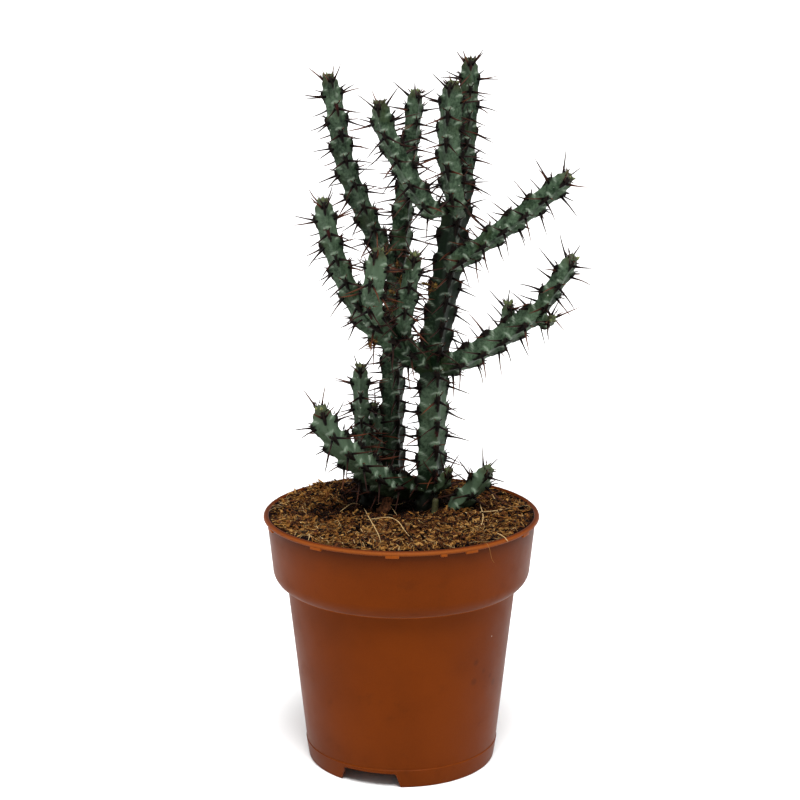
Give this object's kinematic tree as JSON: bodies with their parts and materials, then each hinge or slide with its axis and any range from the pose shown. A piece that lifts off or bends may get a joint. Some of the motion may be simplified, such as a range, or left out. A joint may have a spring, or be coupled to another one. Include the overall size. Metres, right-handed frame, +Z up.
{
  "type": "potted euphorbia",
  "caption": "Branching four-ribbed spiny euphorbia in a tapered round plastic nursery pot filled with coir soil.",
  "frame": {"origin": "under the middle of the whole object's bounding box, on the surface the pot stands on; the pot's axis lies 9.1 mm to -X of it", "axes": "+Z up, -Y to the front, +X to the right seen from the front"},
  "size_m": [0.1252, 0.107, 0.2751],
  "materials": {
    "pot_plastic": "terracotta-coloured polypropylene, satin",
    "coir_soil": "loose fibrous coir and peat, dry on top",
    "stem_skin": "waxy blue-green succulent skin, satin"
  },
  "bodies": {
    "root": {"pot": "pot_plastic", "soil": "coir_soil", "stem_main": "stem_skin", "stem_rear": "stem_skin", "stem_small": "stem_skin", "stem_low_right": "stem_skin"}
  },
  "joints": []
}
